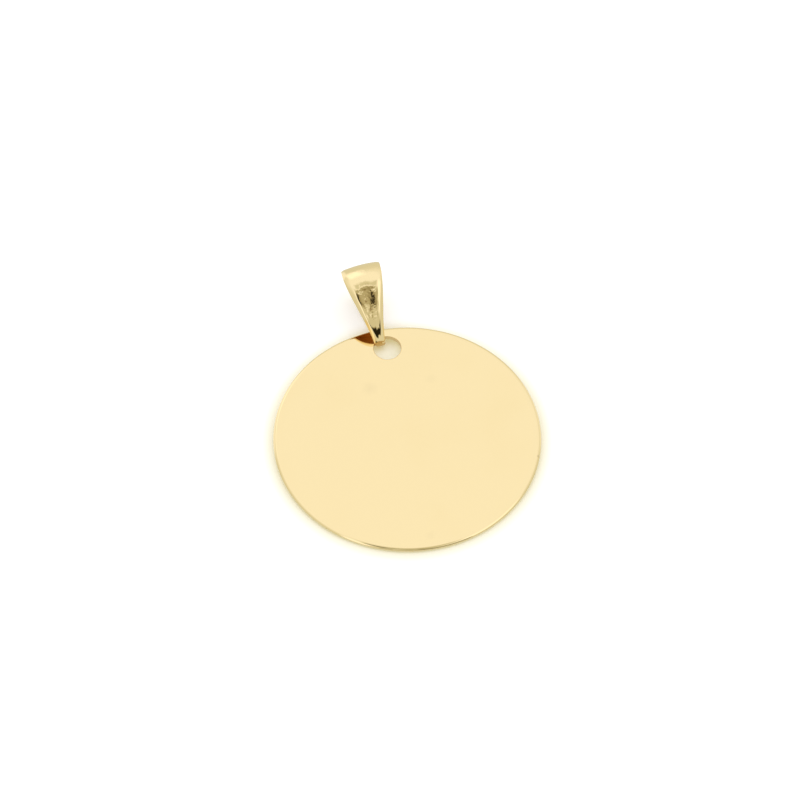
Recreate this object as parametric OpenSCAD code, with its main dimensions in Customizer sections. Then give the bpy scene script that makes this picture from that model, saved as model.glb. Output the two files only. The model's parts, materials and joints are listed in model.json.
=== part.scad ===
// Disc pendant: a plain polished tag that lies on a surface, with a tapered bail through its hole.
// +Z is up, +Y runs from the middle of the disc to its hole. The origin is at the middle of the
// footprint, on the surface that the pendant lies on. All sizes are in millimetres.

/* [Disc] */
// Diameter of the disc
disc_d = 25; // [18:0.5:35]
// Thickness of the disc
disc_t = 0.46; // [0.4:0.02:0.52]
// Radius of the burnished arcs that round the rim from its two faces
rim_r = 0.32; // [0.27:0.01:0.4]
// Diameter of the hole for the bail
hole_d = 2.6; // [2.5:0.05:3.2]
// Width of the metal left between the hole and the rim
web_w = 1; // [0.8:0.05:1.2]
// Bevel that breaks the two edges of the hole
hole_bevel = 0.04; // [0.03:0.01:0.1]

/* [Bail loop, seen from the side] */
// Inner radius of the narrow bend that passes through the hole
neck_r = 0.44; // [0.42:0.01:0.6]
// Inner radius of the wide bend at the head, where a chain passes
head_r = 1.9; // [1.5:0.05:2.3]
// Distance between the middles of the two bends
bend_gap = 4.85; // [4:0.05:6]
// Radius of the gentle outward bow of the two legs
leg_bow_r = 9.5; // [8:0.5:20]

/* [Bail band] */
// Width of the band at its widest, over the head
head_w = 3.74; // [3:0.02:4.4]
// Width of the band at the narrow bend
neck_w = 0.98; // [0.9:0.02:1.1]
// Thickness of the band along the front and over the head
head_t = 0.54; // [0.44:0.02:0.7]
// Thickness of the band at the narrow bend
neck_t = 0.3; // [0.28:0.02:0.4]
// Width of each sloping shoulder along the edges, where the band is widest
shoulder_w = 0.52; // [0.3:0.02:0.6]
// Width of each sloping shoulder at the narrow end of the front
neck_shoulder_w = 0.25; // [0.2:0.01:0.3]
// Depth of the hollow between the shoulders of the front
dish_d = 0.13; // [0.04:0.01:0.16]
// Rise of the arched face over the head, from its shoulders to its middle
crown_d = 0.1; // [0.04:0.01:0.2]
// Thickness of the band at the edges of its front
edge_t = 0.14; // [0.1:0.01:0.2]

/* [How it lies] */
// Rise of the bail's front above the surface, in degrees
front_rise = 43; // [38:0.5:44]
// Turn of the bail to the left of the line from disc to hole, in degrees
bail_turn = 1.8; // [0:0.2:4]
// Lean of the bail to its left, on its rounded back, in degrees
bail_lean = 8; // [0:0.5:10]
// Distance of the narrow bend to the left of the middle of the hole
bail_side = 0.54; // [0:0.02:0.6]
// Clearance between the bail and the disc
clear = 0.05; // [0.03:0.01:0.08]

/* [Hidden] */
gold = "#f0cf86";

// Columns of the band table. A place runs once round the loop: 0 to 1 is the narrow bend from back to
// front, 1 to 2 the front, 2 to 3 the bend over the head and 3 to 4 the back, down to the narrow bend.
PLACE = 0;
WIDTH = 1;
THICK = 2;
DISH = 3;
CROWN = 4;
EDGE = 5;
ROUND = 6;
// Width: 0 is neck_w and 1 is head_w. Thickness: 0 is neck_t and 1 is head_t. Dish and crown: shares of
// dish_d and crown_d. Edge: how blunt the edges are, from 0, edge_t thin, to 1, nearly the whole band.
// Round: how round the inner edges are, from 0, a small break, to 1, a half round.
BAND = [
    [0.0, 0.00, 0.0, 0.00, 0.00, 0.00, 0.80],
    [0.5, 0.00, 0.0, 0.00, 0.00, 0.00, 0.90],
    [1.0, 0.04, 0.2, 0.25, 0.00, 0.00, 0.60],
    [1.2, 0.14, 0.5, 0.45, 0.00, 0.00, 0.20],
    [1.4, 0.31, 0.8, 0.65, 0.00, 0.00, 0.05],
    [1.6, 0.50, 1.0, 0.85, 0.00, 0.00, 0.00],
    [1.8, 0.69, 1.0, 1.00, 0.00, 0.00, 0.00],
    [1.9, 0.78, 1.0, 0.80, 0.05, 0.00, 0.00],
    [2.0, 0.86, 1.0, 0.20, 0.20, 0.10, 0.00],
    [2.1, 0.94, 1.0, 0.00, 0.50, 0.30, 0.00],
    [2.2, 0.99, 1.0, 0.00, 0.80, 0.50, 0.00],
    [2.4, 1.00, 1.0, 0.00, 1.00, 0.80, 0.00],
    [2.6, 0.97, 1.0, 0.00, 1.00, 0.80, 0.00],
    [2.8, 0.78, 0.9, 0.00, 0.90, 0.60, 0.00],
    [3.0, 0.54, 0.7, 0.00, 0.70, 0.40, 0.00],
    [3.3, 0.32, 0.4, 0.00, 0.50, 0.30, 0.10],
    [3.7, 0.12, 0.1, 0.00, 0.20, 0.20, 0.40],
    [4.0, 0.00, 0.0, 0.00, 0.00, 0.00, 0.80]
];

// Value of a table column at any place, on a smooth curve through the rows
function row_below(place, i = 0) =
    i >= len(BAND) - 2 || place < BAND[i + 1][PLACE] ? i : row_below(place, i + 1);
function slope_at(i, column) =
    i == 0 || i == len(BAND) - 1 ? 0 :
    (BAND[i + 1][column] - BAND[i - 1][column]) / (BAND[i + 1][PLACE] - BAND[i - 1][PLACE]);
function share_at(place, column) =
    let (i = row_below(place))
    let (a = BAND[i])
    let (b = BAND[i + 1])
    let (gap = b[PLACE] - a[PLACE])
    let (x = (place - a[PLACE]) / gap)
    let (from_a = a[column] * (1 + 2 * x) + slope_at(i, column) * gap * x)
    let (from_b = b[column] * (3 - 2 * x) - slope_at(i + 1, column) * gap * (1 - x))
    max(0, from_a * (1 - x) * (1 - x) + from_b * x * x);

function band_w(place) = neck_w + (head_w - neck_w) * share_at(place, WIDTH);
function band_t(place) = neck_t + (head_t - neck_t) * share_at(place, THICK);

// Inner line of the loop, four arcs that run into each other. Angles are taken from the loop's own
// axis, which runs from the middle of the narrow bend to the middle of the head.
bow_neck = leg_bow_r - neck_r;
bow_head = leg_bow_r - head_r;
bow_x = (bend_gap * bend_gap + bow_neck * bow_neck - bow_head * bow_head) / (2 * bend_gap);
bow_y = sqrt(bow_neck * bow_neck - bow_x * bow_x);
neck_end = atan2(bow_y, -bow_x);
head_end = atan2(bow_y, bend_gap - bow_x);
loop_tilt = front_rise - (neck_end + head_end) / 2 + 90;

// Each arc: middle, radius, and the direction of its normal at its start and end
ARCS = [
    [[0, 0], neck_r, 360 - neck_end, neck_end],
    [[bow_x, -bow_y], leg_bow_r, neck_end, head_end],
    [[bend_gap, 0], head_r, head_end, -head_end],
    [[bow_x, bow_y], leg_bow_r, -head_end, -neck_end]
];
function arc_of(place) = ARCS[min(3, floor(place))];
function normal_dir(place) =
    let (arc = arc_of(place))
    let (x = place - min(3, floor(place)))
    arc[2] + (arc[3] - arc[2]) * x;
function turned(p, angle) = [p.x * cos(angle) - p.y * sin(angle), p.x * sin(angle) + p.y * cos(angle)];
// Point of the inner line and the outward normal there, as the loop leans on the surface
function inner_point(place) =
    let (arc = arc_of(place))
    let (dir = normal_dir(place))
    turned(arc[0] + arc[1] * [cos(dir), sin(dir)], loop_tilt);
function outward(place) =
    let (dir = normal_dir(place) + loop_tilt)
    [cos(dir), sin(dir)];

// Outline of the band at a place: points across the width, and out from the inner line
inner_break = 0.05;
// Most that a shoulder takes of half the width, a hollow of the face's half width, a thin edge of the
// thickness, a blunt edge of it, and most that a blunt edge takes off the shoulder
shoulder_most = 0.86;
hollow_most = 0.16;
edge_most = 0.4;
blunt_most = 0.8;
blunt_narrows = 0.5;
// How flat a shoulder slopes, from 0, a quarter round, to 1, a straight facet
slope_flat = 0.8;
corner_steps = 3;
shoulder_steps = 5;
face_steps = 8;
function corner(half, wide, high, side) = [
    for (i = [0:corner_steps])
    let (a = 90 * (side > 0 ? i : corner_steps - i) / corner_steps)
    [side * (half - wide + wide * sin(a)), high - high * cos(a)]
];
function shoulder(half, wide, low, high, flatness, side) = [
    for (i = [0:shoulder_steps])
    let (a = 90 * (side > 0 ? i : shoulder_steps - i) / shoulder_steps)
    let (power = 1 + flatness)
    [side * (half - wide + wide * pow(cos(a), power)), low + (high - low) * pow(sin(a), power)]
];
function band_outline(place) =
    let (half = band_w(place) / 2)
    let (thick = band_t(place))
    let (round = share_at(place, ROUND))
    let (blunt = share_at(place, EDGE))
    let (slope_w = neck_shoulder_w + (shoulder_w - neck_shoulder_w) * share_at(place, WIDTH))
    let (sharp = min(slope_w * (1 - blunt_narrows * blunt), half * shoulder_most))
    let (wide = sharp + round * (half * shoulder_most - sharp))
    let (flatness = slope_flat * (1 - round))
    let (flat = half - wide)
    let (hollow = min(dish_d * share_at(place, DISH), flat * hollow_most))
    let (arch = crown_d * share_at(place, CROWN))
    let (high = thick - arch)
    let (thin_edge = min(edge_t, high * edge_most))
    let (edge = thin_edge + blunt * (high * blunt_most - thin_edge))
    let (low = edge + round * (thick / 2 - edge))
    let (break_w = inner_break + round * (wide - inner_break))
    let (break_t = low * (1 + round) / 2)
    concat(
        corner(half, break_w, break_t, 1),
        shoulder(half, wide, low, high, flatness, 1),
        [for (i = [1:face_steps - 1])
            let (x = 1 - 2 * i / face_steps)
            [flat * x, thick - arch * x * x - hollow * (1 + cos(180 * x)) / 2]],
        shoulder(half, wide, low, high, flatness, -1),
        corner(half, break_w, break_t, -1)
    );

// Places of the rings, closer together where the loop bends
neck_rings = 12;
leg_rings = 16;
head_rings = 28;
PLACES = concat(
    [for (i = [0:neck_rings - 1]) i / neck_rings],
    [for (i = [0:leg_rings - 1]) 1 + i / leg_rings],
    [for (i = [0:head_rings - 1]) 2 + i / head_rings],
    [for (i = [0:leg_rings - 1]) 3 + i / leg_rings]
);

// Rings of points [away from the hole, to the right, up], with the middle of the narrow bend at zero
RINGS = [
    for (place = PLACES)
    [for (q = band_outline(place))
        let (p = inner_point(place) + q.y * outward(place))
        let (leant = turned([q.x, p.y], bail_lean))
        [p.x, leant.x, leant.y]]
];
bend_z = -min([for (ring = RINGS) min([for (p = ring) p.z])]);

// Where the narrow bend sits against the wall of the hole, which the rounded corner of the neck meets
// at this share of the neck's width
corner_share = 0.45;
hole_r = hole_d / 2;
hole_y = disc_d / 2 - web_w - hole_r;
wall_at_corner = sqrt(pow(hole_r, 2) - pow(bail_side + corner_share * neck_w, 2));
wall_at_middle = sqrt(pow(hole_r, 2) - pow(bail_side, 2));
bend_u = wall_at_corner - clear + neck_r;

// Lean of the disc, from its near rim on the surface to the bail beneath its far rim. The disc clears
// the narrow bend under the web, and every point of the bail's back that lies beneath the rim.
rim_w = sqrt(disc_t * (rim_r - disc_t / 4));
rim_middle = disc_d / 2 - rim_w;
web_reach = bend_u - wall_at_middle;
bend_lean = asin((bend_z - sqrt(pow(neck_r - clear, 2) - pow(web_reach, 2)))
    / (rim_middle + hole_y + wall_at_middle));
BACK_LEANS = [
    for (i = [0:len(PLACES) - 1])
    if (PLACES[i] > 3)
    for (p = RINGS[i])
    if (bend_u + p.x < rim_middle - hole_y)
    asin((p.z + bend_z + clear) / (rim_middle + hole_y + bend_u + p.x))
];
disc_lean = max(bend_lean, max(BACK_LEANS));
disc_z = rim_middle * sin(disc_lean) + (disc_t / 2 - rim_r) * cos(disc_lean) + rim_r;

// Places one point of the bail beside the hole of the leaning disc
function beside_hole(p) =
    let (away = bend_u + p.x)
    let (right = p.y - bail_side)
    [
        right * cos(bail_turn) - away * sin(bail_turn),
        hole_y * cos(disc_lean) + right * sin(bail_turn) + away * cos(bail_turn),
        p.z + bend_z
    ];
BAIL_RINGS = [for (ring = RINGS) [for (p = ring) beside_hole(p)]];

// The origin is moved to the middle of the footprint
near_y = -disc_d / 2 * cos(disc_lean);
far_y = max([for (ring = BAIL_RINGS) max([for (p = ring) p.y])]);
shift_y = -(near_y + far_y) / 2;

disc_fn = 180;
edge_fn = 32;
hole_fn = 64;
over = 0.1;

// Flat tag whose rim is burnished over from both faces, in two arcs that meet half way down
module disc_blank() {
    rotate_extrude($fn = disc_fn) {
        square([rim_middle, disc_t]);
        intersection() {
            translate([rim_middle, rim_r]) circle(r = rim_r, $fn = edge_fn);
            translate([rim_middle, disc_t - rim_r]) circle(r = rim_r, $fn = edge_fn);
        }
    }
}

// Drilled hole with both edges broken
module disc_hole() {
    bevel_r = hole_r + hole_bevel + over;
    translate([0, 0, -over]) cylinder(h = disc_t + 2 * over, r = hole_r, $fn = hole_fn);
    translate([0, 0, disc_t - hole_bevel])
        cylinder(h = hole_bevel + over, r1 = hole_r, r2 = bevel_r, $fn = hole_fn);
    translate([0, 0, -over])
        cylinder(h = hole_bevel + over, r1 = bevel_r, r2 = hole_r, $fn = hole_fn);
}

module disc() {
    color(gold)
    translate([0, shift_y, disc_z])
    rotate([disc_lean, 0, 0])
    translate([0, 0, -disc_t / 2])
    difference() {
        disc_blank();
        translate([0, hole_y, 0]) disc_hole();
    }
}

// Band swept once round the loop, each ring joined to the next
module bail() {
    count = len(BAIL_RINGS);
    size = len(BAIL_RINGS[0]);
    points = [for (ring = BAIL_RINGS) for (p = ring) p];
    faces = [
        for (i = [0:count - 1])
        for (j = [0:size - 1])
        let (a = i * size + j)
        let (b = i * size + (j + 1) % size)
        let (c = ((i + 1) % count) * size + (j + 1) % size)
        let (d = ((i + 1) % count) * size + j)
        each [[a, b, c], [a, c, d]]
    ];
    color(gold)
    translate([0, shift_y, 0])
    polyhedron(points, faces);
}

disc();
bail();
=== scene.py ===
import bpy
import json
from math import asin, atan2, cos, hypot, pi, radians, sin, sqrt
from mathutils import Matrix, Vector

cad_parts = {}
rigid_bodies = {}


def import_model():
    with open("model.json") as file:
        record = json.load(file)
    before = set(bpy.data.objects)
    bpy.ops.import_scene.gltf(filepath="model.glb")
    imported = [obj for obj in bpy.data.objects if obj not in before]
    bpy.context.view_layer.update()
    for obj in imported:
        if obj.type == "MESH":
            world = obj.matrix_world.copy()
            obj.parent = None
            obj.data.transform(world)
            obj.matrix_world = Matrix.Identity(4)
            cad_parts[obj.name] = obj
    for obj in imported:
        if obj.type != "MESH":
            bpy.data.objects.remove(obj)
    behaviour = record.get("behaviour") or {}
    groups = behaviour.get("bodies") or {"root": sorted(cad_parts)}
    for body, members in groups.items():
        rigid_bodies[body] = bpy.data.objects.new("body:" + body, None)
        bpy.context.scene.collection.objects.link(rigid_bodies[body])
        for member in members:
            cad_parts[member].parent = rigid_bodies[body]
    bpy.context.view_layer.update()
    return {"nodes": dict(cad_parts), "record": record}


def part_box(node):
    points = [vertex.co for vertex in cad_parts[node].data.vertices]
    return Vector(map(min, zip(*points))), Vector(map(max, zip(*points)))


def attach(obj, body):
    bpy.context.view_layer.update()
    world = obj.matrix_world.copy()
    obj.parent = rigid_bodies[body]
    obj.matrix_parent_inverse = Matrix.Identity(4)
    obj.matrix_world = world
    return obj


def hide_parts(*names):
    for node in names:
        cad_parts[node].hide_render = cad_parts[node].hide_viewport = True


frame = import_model()

# Camera. It looks down on the lying pendant from the front and a little to its left, as the
# photograph does, and stands nearly half a metre off, so the disc shows almost without perspective.
# Lengths are in metres here and in every section, as they are in the frame.
camera_turn = radians(10.6)
camera_down = radians(55)
camera_reach = 0.45
nearest_seen = 0.01
picture_width = 0.0746
disc_right_of_middle = 0.00068
disc_below_middle = 0.00353

disc_low, disc_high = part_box("disc")
disc_middle = (disc_low + disc_high) / 2
picture_right = Vector((cos(camera_turn), -sin(camera_turn), 0))
level_ahead = Vector((sin(camera_turn), cos(camera_turn), 0))
line_of_sight = level_ahead * cos(camera_down) - Vector((0, 0, sin(camera_down)))
picture_up = picture_right.cross(line_of_sight)
picture_middle = disc_middle - picture_right * disc_right_of_middle + picture_up * disc_below_middle
bpy.ops.object.camera_add(location=picture_middle - line_of_sight * camera_reach)
camera = bpy.context.object
camera.rotation_euler = (pi / 2 - camera_down, 0, -camera_turn)
camera.data.angle = 2 * atan2(picture_width / 2, camera_reach)
camera.data.clip_start = nearest_seen
bpy.context.scene.camera = camera

# Disc. A round tag stamped from yellow gold sheet and polished to a mirror on both faces. Its rim is
# burnished round, and one hole is drilled close to the rim. It leans on the bail, a degree off level.
disc_r = (disc_high.x - disc_low.x) / 2
disc_t = 0.00046
rim_r = 0.00032
rim_w = sqrt(disc_t * (rim_r - disc_t / 4))
rim_steps = 10
rim_sides = 288
web_w = 0.001
hole_r = 0.0013
hole_y = disc_r - web_w - hole_r
hole_bevel = 0.00004
hole_bevel_steps = 3
hole_sides = 96
flat_margin = 0.00006
at_hole_edge = 0.000015
flat_facing = 0.9999
wall_facing = 0.98
weld = 1e-6

# Colours of the alloy: polished, where pits and specks darken it, and in the drilled hole, whose deeper
# colour is painted shade in the hole
gold_light = (0.955, 0.782, 0.447, 1)
gold_deep = (0.945, 0.768, 0.430, 1)
pit_brown = (0.40, 0.23, 0.07, 1)
speck_brown = (0.45, 0.34, 0.20, 1)
drilled_painted_shade_light = (0.86, 0.65, 0.34, 1)
drilled_painted_shade_deep = (0.74, 0.52, 0.24, 1)
mark_dulling = 0.03
wave_height = 0.00005
grain_height = 0.000002

# Three faint specks on the face and a nick in the rim: place, radius and how much each shows
disc_marks = (
    ((-0.00243, 0.00309, 0.0008), 0.001, 0.08),
    ((0.00337, 0.00314, 0.0008), 0.0008, 0.04),
    ((0.00008, -0.01396, 0.0005), 0.0007, 0.04),
    ((0.01166, -0.00723, 0.0007), 0.0003, 0.9),
)


def nothing_selected():
    bpy.ops.object.select_all(action="DESELECT")


def select_in_mesh(piece, kind, test):
    """Leaves the piece in edit mode with only those of its points, edges or faces selected that pass."""
    bpy.ops.object.mode_set(mode="EDIT")
    bpy.ops.mesh.select_mode(type=kind)
    bpy.ops.mesh.select_all(action="DESELECT")
    bpy.ops.object.mode_set(mode="OBJECT")
    mesh = piece.data
    for part in {"VERT": mesh.vertices, "EDGE": mesh.edges, "FACE": mesh.polygons}[kind]:
        part.select = test(part)
    bpy.ops.object.mode_set(mode="EDIT")


def new_material(name):
    material = bpy.data.materials.new(name)
    material.use_nodes = True
    return material, material.node_tree, material.node_tree.nodes["Principled BSDF"]


def fed(tree, value, socket):
    """Links the output of another node to the socket, or sets the socket to a number or a colour."""
    if isinstance(value, bpy.types.NodeSocket):
        tree.links.new(value, socket)
    else:
        socket.default_value = value


def worked_out(tree, operation, *values):
    node = tree.nodes.new("ShaderNodeMath")
    node.operation = operation
    for value, socket in zip(values, node.inputs):
        fed(tree, value, socket)
    return node.outputs["Value"]


def ranged(tree, value, low, high, to_low, to_high, curve="SMOOTHSTEP"):
    """Turns a value between low and high into one between to_low and to_high."""
    node = tree.nodes.new("ShaderNodeMapRange")
    node.interpolation_type = curve
    numbers = {"From Min": low, "From Max": high, "To Min": to_low, "To Max": to_high}
    for key, number in numbers.items():
        node.inputs[key].default_value = number
    tree.links.new(value, node.inputs["Value"])
    return node.outputs["Result"]


def mixed(tree, share, a, b, kind="RGBA"):
    node = tree.nodes.new("ShaderNodeMix")
    node.data_type = kind
    for key, value in (("Factor", share), ("A", a), ("B", b)):
        fed(tree, value, node.inputs[key])
    return node.outputs["Result"]


def object_place(tree):
    return tree.nodes.new("ShaderNodeTexCoord").outputs["Object"]


def distance_from(tree, point):
    node = tree.nodes.new("ShaderNodeVectorMath")
    node.operation = "DISTANCE"
    node.inputs[1].default_value = point
    tree.links.new(object_place(tree), node.inputs[0])
    return node.outputs["Value"]


def noise(tree, scale, detail, roughness=0.5, stretch=(1, 1, 1), turn=0.0):
    mapping = tree.nodes.new("ShaderNodeMapping")
    mapping.inputs["Scale"].default_value = stretch
    mapping.inputs["Rotation"].default_value = (0, 0, turn)
    tree.links.new(object_place(tree), mapping.inputs["Vector"])
    texture = tree.nodes.new("ShaderNodeTexNoise")
    texture.inputs["Scale"].default_value = scale
    texture.inputs["Detail"].default_value = detail
    texture.inputs["Roughness"].default_value = roughness
    tree.links.new(mapping.outputs["Vector"], texture.inputs["Vector"])
    return texture.outputs["Fac"]


def bumped(tree, height, distance, normal=None):
    bump = tree.nodes.new("ShaderNodeBump")
    bump.inputs["Distance"].default_value = distance
    tree.links.new(height, bump.inputs["Height"])
    if normal:
        tree.links.new(normal, bump.inputs["Normal"])
    return bump.outputs["Normal"]


def polished_gold(name, ripple, ripple_scale, marks=()):
    """Yellow gold with a mirror polish: faint cloudy ripples and hairlines left by the buff, a colour
    that is a little deeper in patches, and small dull marks, each a place, a radius and how much it
    shows. Where the mesh has an "unevenness" of 1, it keeps the waves and brown pits of the cast."""
    material, tree, shader = new_material(name)
    attribute = tree.nodes.new("ShaderNodeAttribute")
    attribute.attribute_name = "unevenness"
    unevenness = attribute.outputs["Fac"]

    # Colour: the alloy's yellow, a touch deeper where the polish has dragged, and brown in the pits
    dragged = ranged(tree, noise(tree, 160, 3), 0.45, 0.85, 0.0, 1.0)
    pits = ranged(tree, noise(tree, 2000, 2), 0.56, 0.72, 0.0, 0.55)
    pitted = worked_out(tree, "MULTIPLY", pits, ranged(tree, unevenness, 0.4, 0.9, 0.0, 1.0))
    colour = mixed(tree, pitted, mixed(tree, dragged, gold_light, gold_deep), pit_brown)

    # Gloss: smeared patches, and fine hairlines in two directions
    lengthwise = ranged(tree, noise(tree, 900, 2, stretch=(1, 22, 22), turn=0.5), 0.66, 0.80, 0.0, 0.05)
    crosswise = ranged(tree, noise(tree, 700, 2, stretch=(20, 1, 20), turn=-0.3), 0.68, 0.82, 0.0, 0.04)
    smears = ranged(tree, noise(tree, 240, 4), 0.35, 0.75, 0.035, 0.075)
    roughness = worked_out(tree, "ADD", smears, worked_out(tree, "ADD", lengthwise, crosswise))

    # Marks: duller and browner towards their middles
    for middle, radius, shows in marks:
        away = distance_from(tree, middle)
        dulled = ranged(tree, away, 0.0, radius, mark_dulling, 0.0)
        roughness = worked_out(tree, "ADD", roughness, dulled)
        colour = mixed(tree, ranged(tree, away, 0.0, radius, shows, 0.0), colour, speck_brown)
    tree.links.new(colour, shader.inputs["Base Color"])
    tree.links.new(roughness, shader.inputs["Roughness"])
    shader.inputs["Metallic"].default_value = 1.0

    # Relief: long soft ripples, a micron or so deep, and the waves of the uneven places
    ripples = bumped(tree, noise(tree, ripple_scale, 1.5), ripple)
    waves = worked_out(tree, "MULTIPLY", noise(tree, 1500, 2, 0.55), unevenness)
    tree.links.new(bumped(tree, waves, wave_height, ripples), shader.inputs["Normal"])
    return material


def satin_gold_painted_shade(name, light, deep):
    """Satin gold with a fine grain, in the deeper colours it is given: that deeper colour is painted
    shade.
    """
    material, tree, shader = new_material(name)
    grain = noise(tree, 2500, 4)
    tree.links.new(mixed(tree, grain, light, deep), shader.inputs["Base Color"])
    tree.links.new(ranged(tree, grain, 0.0, 1.0, 0.28, 0.42, "LINEAR"), shader.inputs["Roughness"])
    tree.links.new(bumped(tree, grain, grain_height), shader.inputs["Normal"])
    shader.inputs["Metallic"].default_value = 1.0
    return material


# Upper half of the disc: rings up the burnished arc from the rim's waist, closed by the flat face
nothing_selected()
bpy.ops.mesh.primitive_circle_add(vertices=rim_sides, radius=disc_r)
disc = bpy.context.object
disc.name = "polished_disc"
bpy.ops.object.mode_set(mode="EDIT")
bpy.ops.mesh.select_all(action="SELECT")
flat_r = disc_r - rim_w
steepest = asin(rim_w / rim_r)
ring_r, ring_z = disc_r, 0
for step in range(1, rim_steps + 1):
    steep = steepest * (1 - step / rim_steps)
    next_r = flat_r + rim_r * sin(steep)
    next_z = disc_t / 2 - rim_r * (1 - cos(steep))
    bpy.ops.mesh.extrude_region_move(TRANSFORM_OT_translate={"value": (0, 0, next_z - ring_z)})
    shrink = next_r / ring_r
    bpy.ops.transform.resize(value=(shrink, shrink, 1), center_override=(0, 0, 0))
    ring_r, ring_z = next_r, next_z
bpy.ops.mesh.edge_face_add()
bpy.ops.object.mode_set(mode="OBJECT")
other_half = disc.modifiers.new("other_half", "MIRROR")
other_half.use_axis = (False, False, True)
other_half.merge_threshold = weld
bpy.ops.object.modifier_apply(modifier=other_half.name)
bpy.ops.object.mode_set(mode="EDIT")
bpy.ops.mesh.select_all(action="SELECT")
bpy.ops.mesh.normals_make_consistent(inside=False)
bpy.ops.object.mode_set(mode="OBJECT")

# Hole: drilled right through, then its two edges are broken
drill_place = (0, hole_y, 0)
bpy.ops.mesh.primitive_cylinder_add(
    vertices=hole_sides, radius=hole_r, depth=4 * disc_t, location=drill_place)
drill = bpy.context.object
nothing_selected()
disc.select_set(True)
bpy.context.view_layer.objects.active = disc
drilled = disc.modifiers.new("drilled", "BOOLEAN")
drilled.operation = "DIFFERENCE"
drilled.solver = "EXACT"
drilled.object = drill
bpy.ops.object.modifier_apply(modifier=drilled.name)
bpy.data.objects.remove(drill)


def is_hole_edge(edge):
    a, b = (disc.data.vertices[v].co for v in edge.vertices)
    level = abs(a.z - b.z) < disc_t / 4
    return level and all(abs(hypot(p.x, p.y - hole_y) - hole_r) < at_hole_edge for p in (a, b))


def is_flat_face(face):
    return abs(face.normal.z) > flat_facing


select_in_mesh(disc, "EDGE", is_hole_edge)
bpy.ops.mesh.bevel(offset=hole_bevel, segments=hole_bevel_steps, affect="EDGES")

# A narrow margin round each flat face keeps the mirror flat right up to the rim
select_in_mesh(disc, "FACE", is_flat_face)
bpy.ops.mesh.inset(thickness=flat_margin)
bpy.ops.object.mode_set(mode="OBJECT")
bpy.ops.object.shade_smooth()

# Lean: as far as the height of the frame's disc tells, with its near rim on the surface
long_side, short_side = 2 * flat_r, disc_t - 2 * rim_r
rise = disc_high.z - disc_low.z - 2 * rim_r
disc_lean = asin(rise / hypot(long_side, short_side)) - atan2(short_side, long_side)
disc.rotation_euler.x = disc_lean
disc.location = disc_middle
bpy.ops.object.transform_apply(location=True, rotation=True, scale=True)
hole_middle = disc_middle + Vector((0, hole_y * cos(disc_lean), hole_y * sin(disc_lean)))
disc.data.materials.append(
    polished_gold("disc_gold", ripple=0.0000012, ripple_scale=130, marks=disc_marks))
disc.data.materials.append(satin_gold_painted_shade("drilled_gold_painted_shade", drilled_painted_shade_light, drilled_painted_shade_deep))


def is_hole_face(face):
    near_hole = (face.center - hole_middle).length < hypot(hole_r + hole_bevel, disc_t / 2)
    return near_hole and abs(face.normal.z) < wall_facing


# The hole's wall gets satin gold whose deeper brown colour is painted shade in the hole
select_in_mesh(disc, "FACE", is_hole_face)
disc.active_material_index = 1
bpy.ops.object.material_slot_assign()
bpy.ops.object.mode_set(mode="OBJECT")
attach(disc, "root")
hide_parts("disc")

# Bail. One closed band of the same gold, wide over its head and narrow where it passes through the
# hole, with a dished front between sloping shoulders. Its form is the frame's, smoothed and polished.
# Inside the loop the gold is satin and browner: the brown is painted shade inside the loop.
chain_passage = frame["record"]["mounts"][0]
head_middle = Vector(chain_passage["pos_m"])
band_axis = Vector(chain_passage["axis"])
# The centre of the neck's narrow turn through the hole
neck_middle = Vector((-0.00058, 0.00857, 0.00083))
loop_axis = head_middle - neck_middle
frontwards = band_axis.cross(loop_axis).normalized()
if frontwards.z < 0:
    frontwards.negate()
# Painted shade: browner colours inside the loop and on the neck's turn under the disc
loop_inside_painted_shade_light = (0.70, 0.40, 0.12, 1)
loop_inside_painted_shade_deep = (0.58, 0.30, 0.08, 1)
neck_turn_painted_shade_light = (0.82, 0.55, 0.22, 1)
neck_turn_painted_shade_deep = (0.68, 0.42, 0.13, 1)

nothing_selected()
bail = bpy.data.objects.new("tapered_bail", frame["nodes"]["bail"].data.copy())
bpy.context.scene.collection.objects.link(bail)
bail.select_set(True)
bpy.context.view_layer.objects.active = bail
bpy.ops.object.mode_set(mode="EDIT")
bpy.ops.mesh.select_all(action="SELECT")
bpy.ops.mesh.remove_doubles(threshold=weld)
bpy.ops.mesh.tris_convert_to_quads(face_threshold=pi, shape_threshold=pi, topology_influence=1.0)
bpy.ops.object.mode_set(mode="OBJECT")

# The buff rounds the ridges between the dish and the shoulders
ridge_angle = radians(14)
ridge_facing = 0.75
buffed_share = 0.5
buffed_times = 6
rounding_levels = 2
normals_at_edge = {}
for face in bail.data.polygons:
    for key in face.edge_keys:
        normals_at_edge.setdefault(key, []).append(face.normal.copy())


def is_ridge(key):
    a, b = normals_at_edge[key]
    return a.angle(b) > ridge_angle and (a + b).normalized().dot(frontwards) > ridge_facing


ridge_points = {point for key in normals_at_edge if is_ridge(key) for point in key}
select_in_mesh(bail, "VERT", lambda point: point.index in ridge_points)
bpy.ops.mesh.select_more()
bpy.ops.mesh.select_more()
bpy.ops.mesh.vertices_smooth(factor=buffed_share, repeat=buffed_times)
bpy.ops.object.mode_set(mode="OBJECT")
rounded = bail.modifiers.new("rounded", "SUBSURF")
rounded.levels = rounded.render_levels = rounding_levels
bpy.ops.object.modifier_apply(modifier=rounded.name)
bpy.ops.object.shade_smooth()
bail.data.materials.clear()
bail.data.materials.append(polished_gold("bail_gold", ripple=0.0000015, ripple_scale=2000))
bail.data.materials.append(satin_gold_painted_shade("satin_gold_painted_shade", loop_inside_painted_shade_light, loop_inside_painted_shade_deep))
bail.data.materials.append(satin_gold_painted_shade("neck_turn_painted_shade", neck_turn_painted_shade_light, neck_turn_painted_shade_deep))

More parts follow.
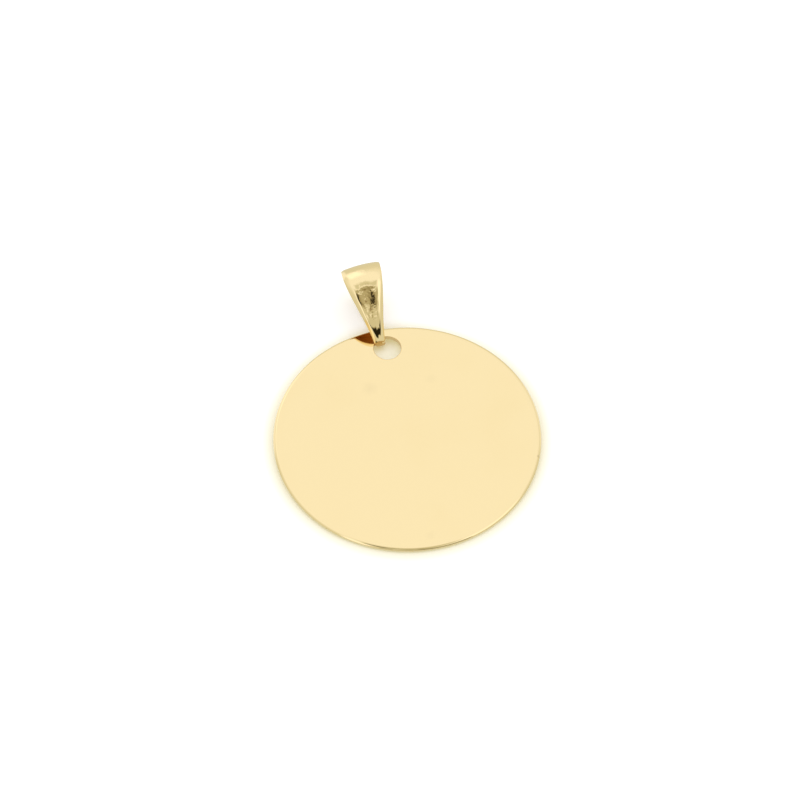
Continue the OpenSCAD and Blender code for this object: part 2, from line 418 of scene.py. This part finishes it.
# Inside the loop the gold is satin and browner, painted shade. On the outside of the neck's turn through
# the hole it is darker too,
#  painted shade under the disc, up to a height that is lower at the band's edges than in its middle.
neck_shade_top = 0.0013
neck_shade_top_at_edges = 0.001
neck_shade_half = 0.0002
neck_share = 0.15
inside_slope = -0.2


def share_along(point):
    """How far a point is from the neck to the head, as a share of the loop."""
    return (point - neck_middle).dot(loop_axis) / loop_axis.length_squared


def is_inside(face):
    on_axis = neck_middle + loop_axis * max(0, min(1, share_along(face.center)))
    inwards = on_axis - face.center
    return face.normal.dot(inwards) > inside_slope * inwards.length


# Low faces on the outside of the neck's turn, painted darker as shade under the disc
def is_neck_turn_painted_shade(face):
    at_edge = abs((face.center - neck_middle).dot(band_axis)) > neck_shade_half
    top = neck_shade_top_at_edges if at_edge else neck_shade_top
    return face.center.z < top and share_along(face.center) < neck_share and not is_inside(face)


for slot, test in ((1, is_inside), (2, is_neck_turn_painted_shade)):
    select_in_mesh(bail, "FACE", test)
    bail.active_material_index = slot
    bpy.ops.object.material_slot_assign()
bpy.ops.object.mode_set(mode="OBJECT")

# The buff couldn't level the dish between the shoulders, and left the head a little uneven
dish_half_low = 0.0002
dish_half_high = 0.0012
dish_fades = (0.6, 1.0)
dish_starts = (0.26, 0.4)
head_starts = (0.95, 1.1)
head_unevenness = 0.35


def share_between(value, low, high):
    x = max(0.0, min(1.0, (value - low) / (high - low)))
    return x * x * (3 - 2 * x)


unevenness = bail.data.attributes.new("unevenness", "FLOAT", "POINT")
for point in bail.data.vertices:
    out = point.co - neck_middle
    along = share_along(point.co)
    dish_half = dish_half_low + (dish_half_high - dish_half_low) * along
    across = abs(out.dot(band_axis)) / max(dish_half, dish_half_low)
    in_dish = (1 - share_between(across, *dish_fades)) * share_between(along, *dish_starts)
    on_head = share_between(along, *head_starts)
    in_front = out.dot(frontwards) > 0
    unevenness.data[point.index].value = in_front * (in_dish + (head_unevenness - in_dish) * on_head)
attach(bail, "root")
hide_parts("bail")

# Floor. A wide sheet of plain white paper that glows a little by itself, so that shadows on it are
#  faint. Close round the disc and under it the glow is dimmer and warm: painted shade and a painted warm
#  glow from the gold.
floor_width = 3
paper_white = (0.87, 0.87, 0.865, 1)
painted_warm_glow_under_disc = (0.19, 0.16, 0.04, 1)
lit_clear_of_disc = (0.34, 0.34, 0.34, 1)
painted_glow_inner_r = disc_r + 0.0001
painted_glow_outer_r = disc_r + 0.0017

nothing_selected()
bpy.ops.mesh.primitive_plane_add(size=floor_width)
floor = bpy.context.object
floor.name = "paper_floor"
paper, paper_tree, paper_shader = new_material("white_paper")
paper_shader.inputs["Base Color"].default_value = paper_white
paper_shader.inputs["Roughness"].default_value = 0.9
paper_shader.inputs["Specular IOR Level"].default_value = 0.1
paper_shader.inputs["Emission Strength"].default_value = 1.0
# Painted shade and painted warm light round and under the disc, mixed into the paper's glow
from_disc = distance_from(paper_tree, (disc_middle.x, disc_middle.y, 0))
clear_of_disc = ranged(paper_tree, from_disc, painted_glow_inner_r, painted_glow_outer_r, 0.0, 1.0)
painted_paper_glow = mixed(paper_tree, clear_of_disc, painted_warm_glow_under_disc, lit_clear_of_disc)
paper_tree.links.new(painted_paper_glow, paper_shader.inputs["Emission Color"])
floor.data.materials.append(paper)
floor.visible_glossy = False

# Light. A white tent stands round the pendant: bright overhead, softer towards the surface, with
# light panels at its sides and behind. The side that the camera is on is dimmer, with a dark hood
# above and a dark opening low down. The polished gold mirrors all of this.
lamp_place = Vector((0, 0.15, 1.0))
lamp_width = 0.8
lamp_power = 1.0

# Height above the level in degrees, and the tent's brightness there
tent_stops = ((-90, 0.72), (0, 0.76), (18, 0.80), (31, 0.87), (44, 0.94), (56, 1.02), (90, 1.02))

# Each panel's place in degrees to the right of the camera and above the level, then half its width,
# half its height and the softness of its edge, in degrees too, and its brightness. A panel covers
# those before it.
tent_panels = (
    # The dim side, and a dim patch overhead
    (3, 40, 27, 24, 8, 0.68),
    (0, 80, 16, 8, 5, 0.72),
    # Light panels at the sides and behind
    (66, 40, 20, 18, 6, 1.2),
    (-35, 24, 9, 28, 4, 1.14),
    (-152, 36, 9, 17, 8, 1.25),
    (-134, -10, 18, 34, 6, 1.04),
    (134, -10, 16, 34, 6, 0.94),
    # The dark hood
    (-6, 53, 14, 9, 4, 0.36),
    (20, 60, 14, 5, 4, 0.5),
    (-25, 49, 6, 7, 2.5, 0.05),
    # One dark and two bright patches in the dim side
    (14, 33, 4, 4, 3, 0.4),
    (-6, 29, 4, 4, 3, 0.95),
    (30, 38, 5, 5, 3, 0.95),
    # The dark opening low down
    (2, 12, 20, 4, 1, 0.02),
    (26, 14.5, 18, 6.5, 1.5, 0.02),
)

# What is darker round the pendant is browner too: half the brightness, and the colour
tent_colours = (
    (0.0, (1, 0.85, 0.50, 1)),
    (0.2, (1, 0.90, 0.58, 1)),
    (0.36, (1, 0.99, 0.84, 1)),
    (0.5, (1, 1, 1, 1)),
)

bpy.ops.object.light_add(type="AREA", location=lamp_place)
top_light = bpy.context.object
top_light.data.shape = "DISK"
top_light.data.size = lamp_width
top_light.data.energy = lamp_power
top_light.rotation_euler = (-lamp_place).to_track_quat("-Z", "Y").to_euler()
top_light.visible_glossy = False
world = bpy.data.worlds.new("light_tent")
bpy.context.scene.world = world
world.use_nodes = True
tent = world.node_tree
outwards = tent.nodes.new("ShaderNodeTexCoord").outputs["Generated"]


def seen_at(right, up):
    """Direction from the pendant, right of the camera and above the level, both in degrees."""
    level = -level_ahead * cos(radians(right)) + picture_right * sin(radians(right))
    return level * cos(radians(up)) + Vector((0, 0, sin(radians(up))))


def reach_along(direction):
    node = tent.nodes.new("ShaderNodeVectorMath")
    node.operation = "DOT_PRODUCT"
    node.inputs[1].default_value = direction
    tent.links.new(outwards, node.inputs[0])
    return node.outputs["Value"]


def with_panel(brightness, right, up, half_width, half_height, edge, panel_brightness):
    """The tent's brightness once one soft-edged panel covers a part of it."""
    middle = seen_at(right, up)
    across = seen_at(right + 90, 0)
    covered = worked_out(tent, "GREATER_THAN", reach_along(middle), 0.0)
    for direction, half in ((across, half_width), (across.cross(middle), half_height)):
        off_middle = worked_out(tent, "ABSOLUTE", reach_along(direction))
        inner, outer = sin(radians(half - edge)), sin(radians(half + edge))
        covered = worked_out(tent, "MULTIPLY", covered, ranged(tent, off_middle, inner, outer, 1.0, 0.0))
    return mixed(tent, covered, brightness, panel_brightness, kind="FLOAT")


# The curve and the colour ramp both work with half the brightness, which stays below 1
height = tent.nodes.new("ShaderNodeSeparateXYZ")
tent.links.new(outwards, height.inputs["Vector"])
base = tent.nodes.new("ShaderNodeFloatCurve")
tent.links.new(ranged(tent, height.outputs["Z"], -1.0, 1.0, 0.0, 1.0, "LINEAR"), base.inputs["Value"])
base.mapping.use_clip = False
curve = base.mapping.curves[0]
for number, (up, level) in enumerate(tent_stops):
    where = ((1 + sin(radians(up))) / 2, level / 2)
    if number in (0, len(tent_stops) - 1):
        curve.points[-1 if number else 0].location = where
    else:
        curve.points.new(*where)
base.mapping.update()
brightness = worked_out(tent, "MULTIPLY", base.outputs["Value"], 2.0)
for panel in tent_panels:
    brightness = with_panel(brightness, *panel)
tint = tent.nodes.new("ShaderNodeValToRGB")
tent.links.new(worked_out(tent, "MULTIPLY", brightness, 0.5), tint.inputs["Fac"])
stops = tint.color_ramp.elements
for number, (where, colour) in enumerate(tent_colours):
    stop = stops[number] if number < 2 else stops.new(where)
    stop.position = where
    stop.color = colour
background = tent.nodes["Background"]
tent.links.new(brightness, background.inputs["Strength"])
tent.links.new(tint.outputs["Color"], background.inputs["Color"])
bpy.context.scene.view_settings.view_transform = "Standard"
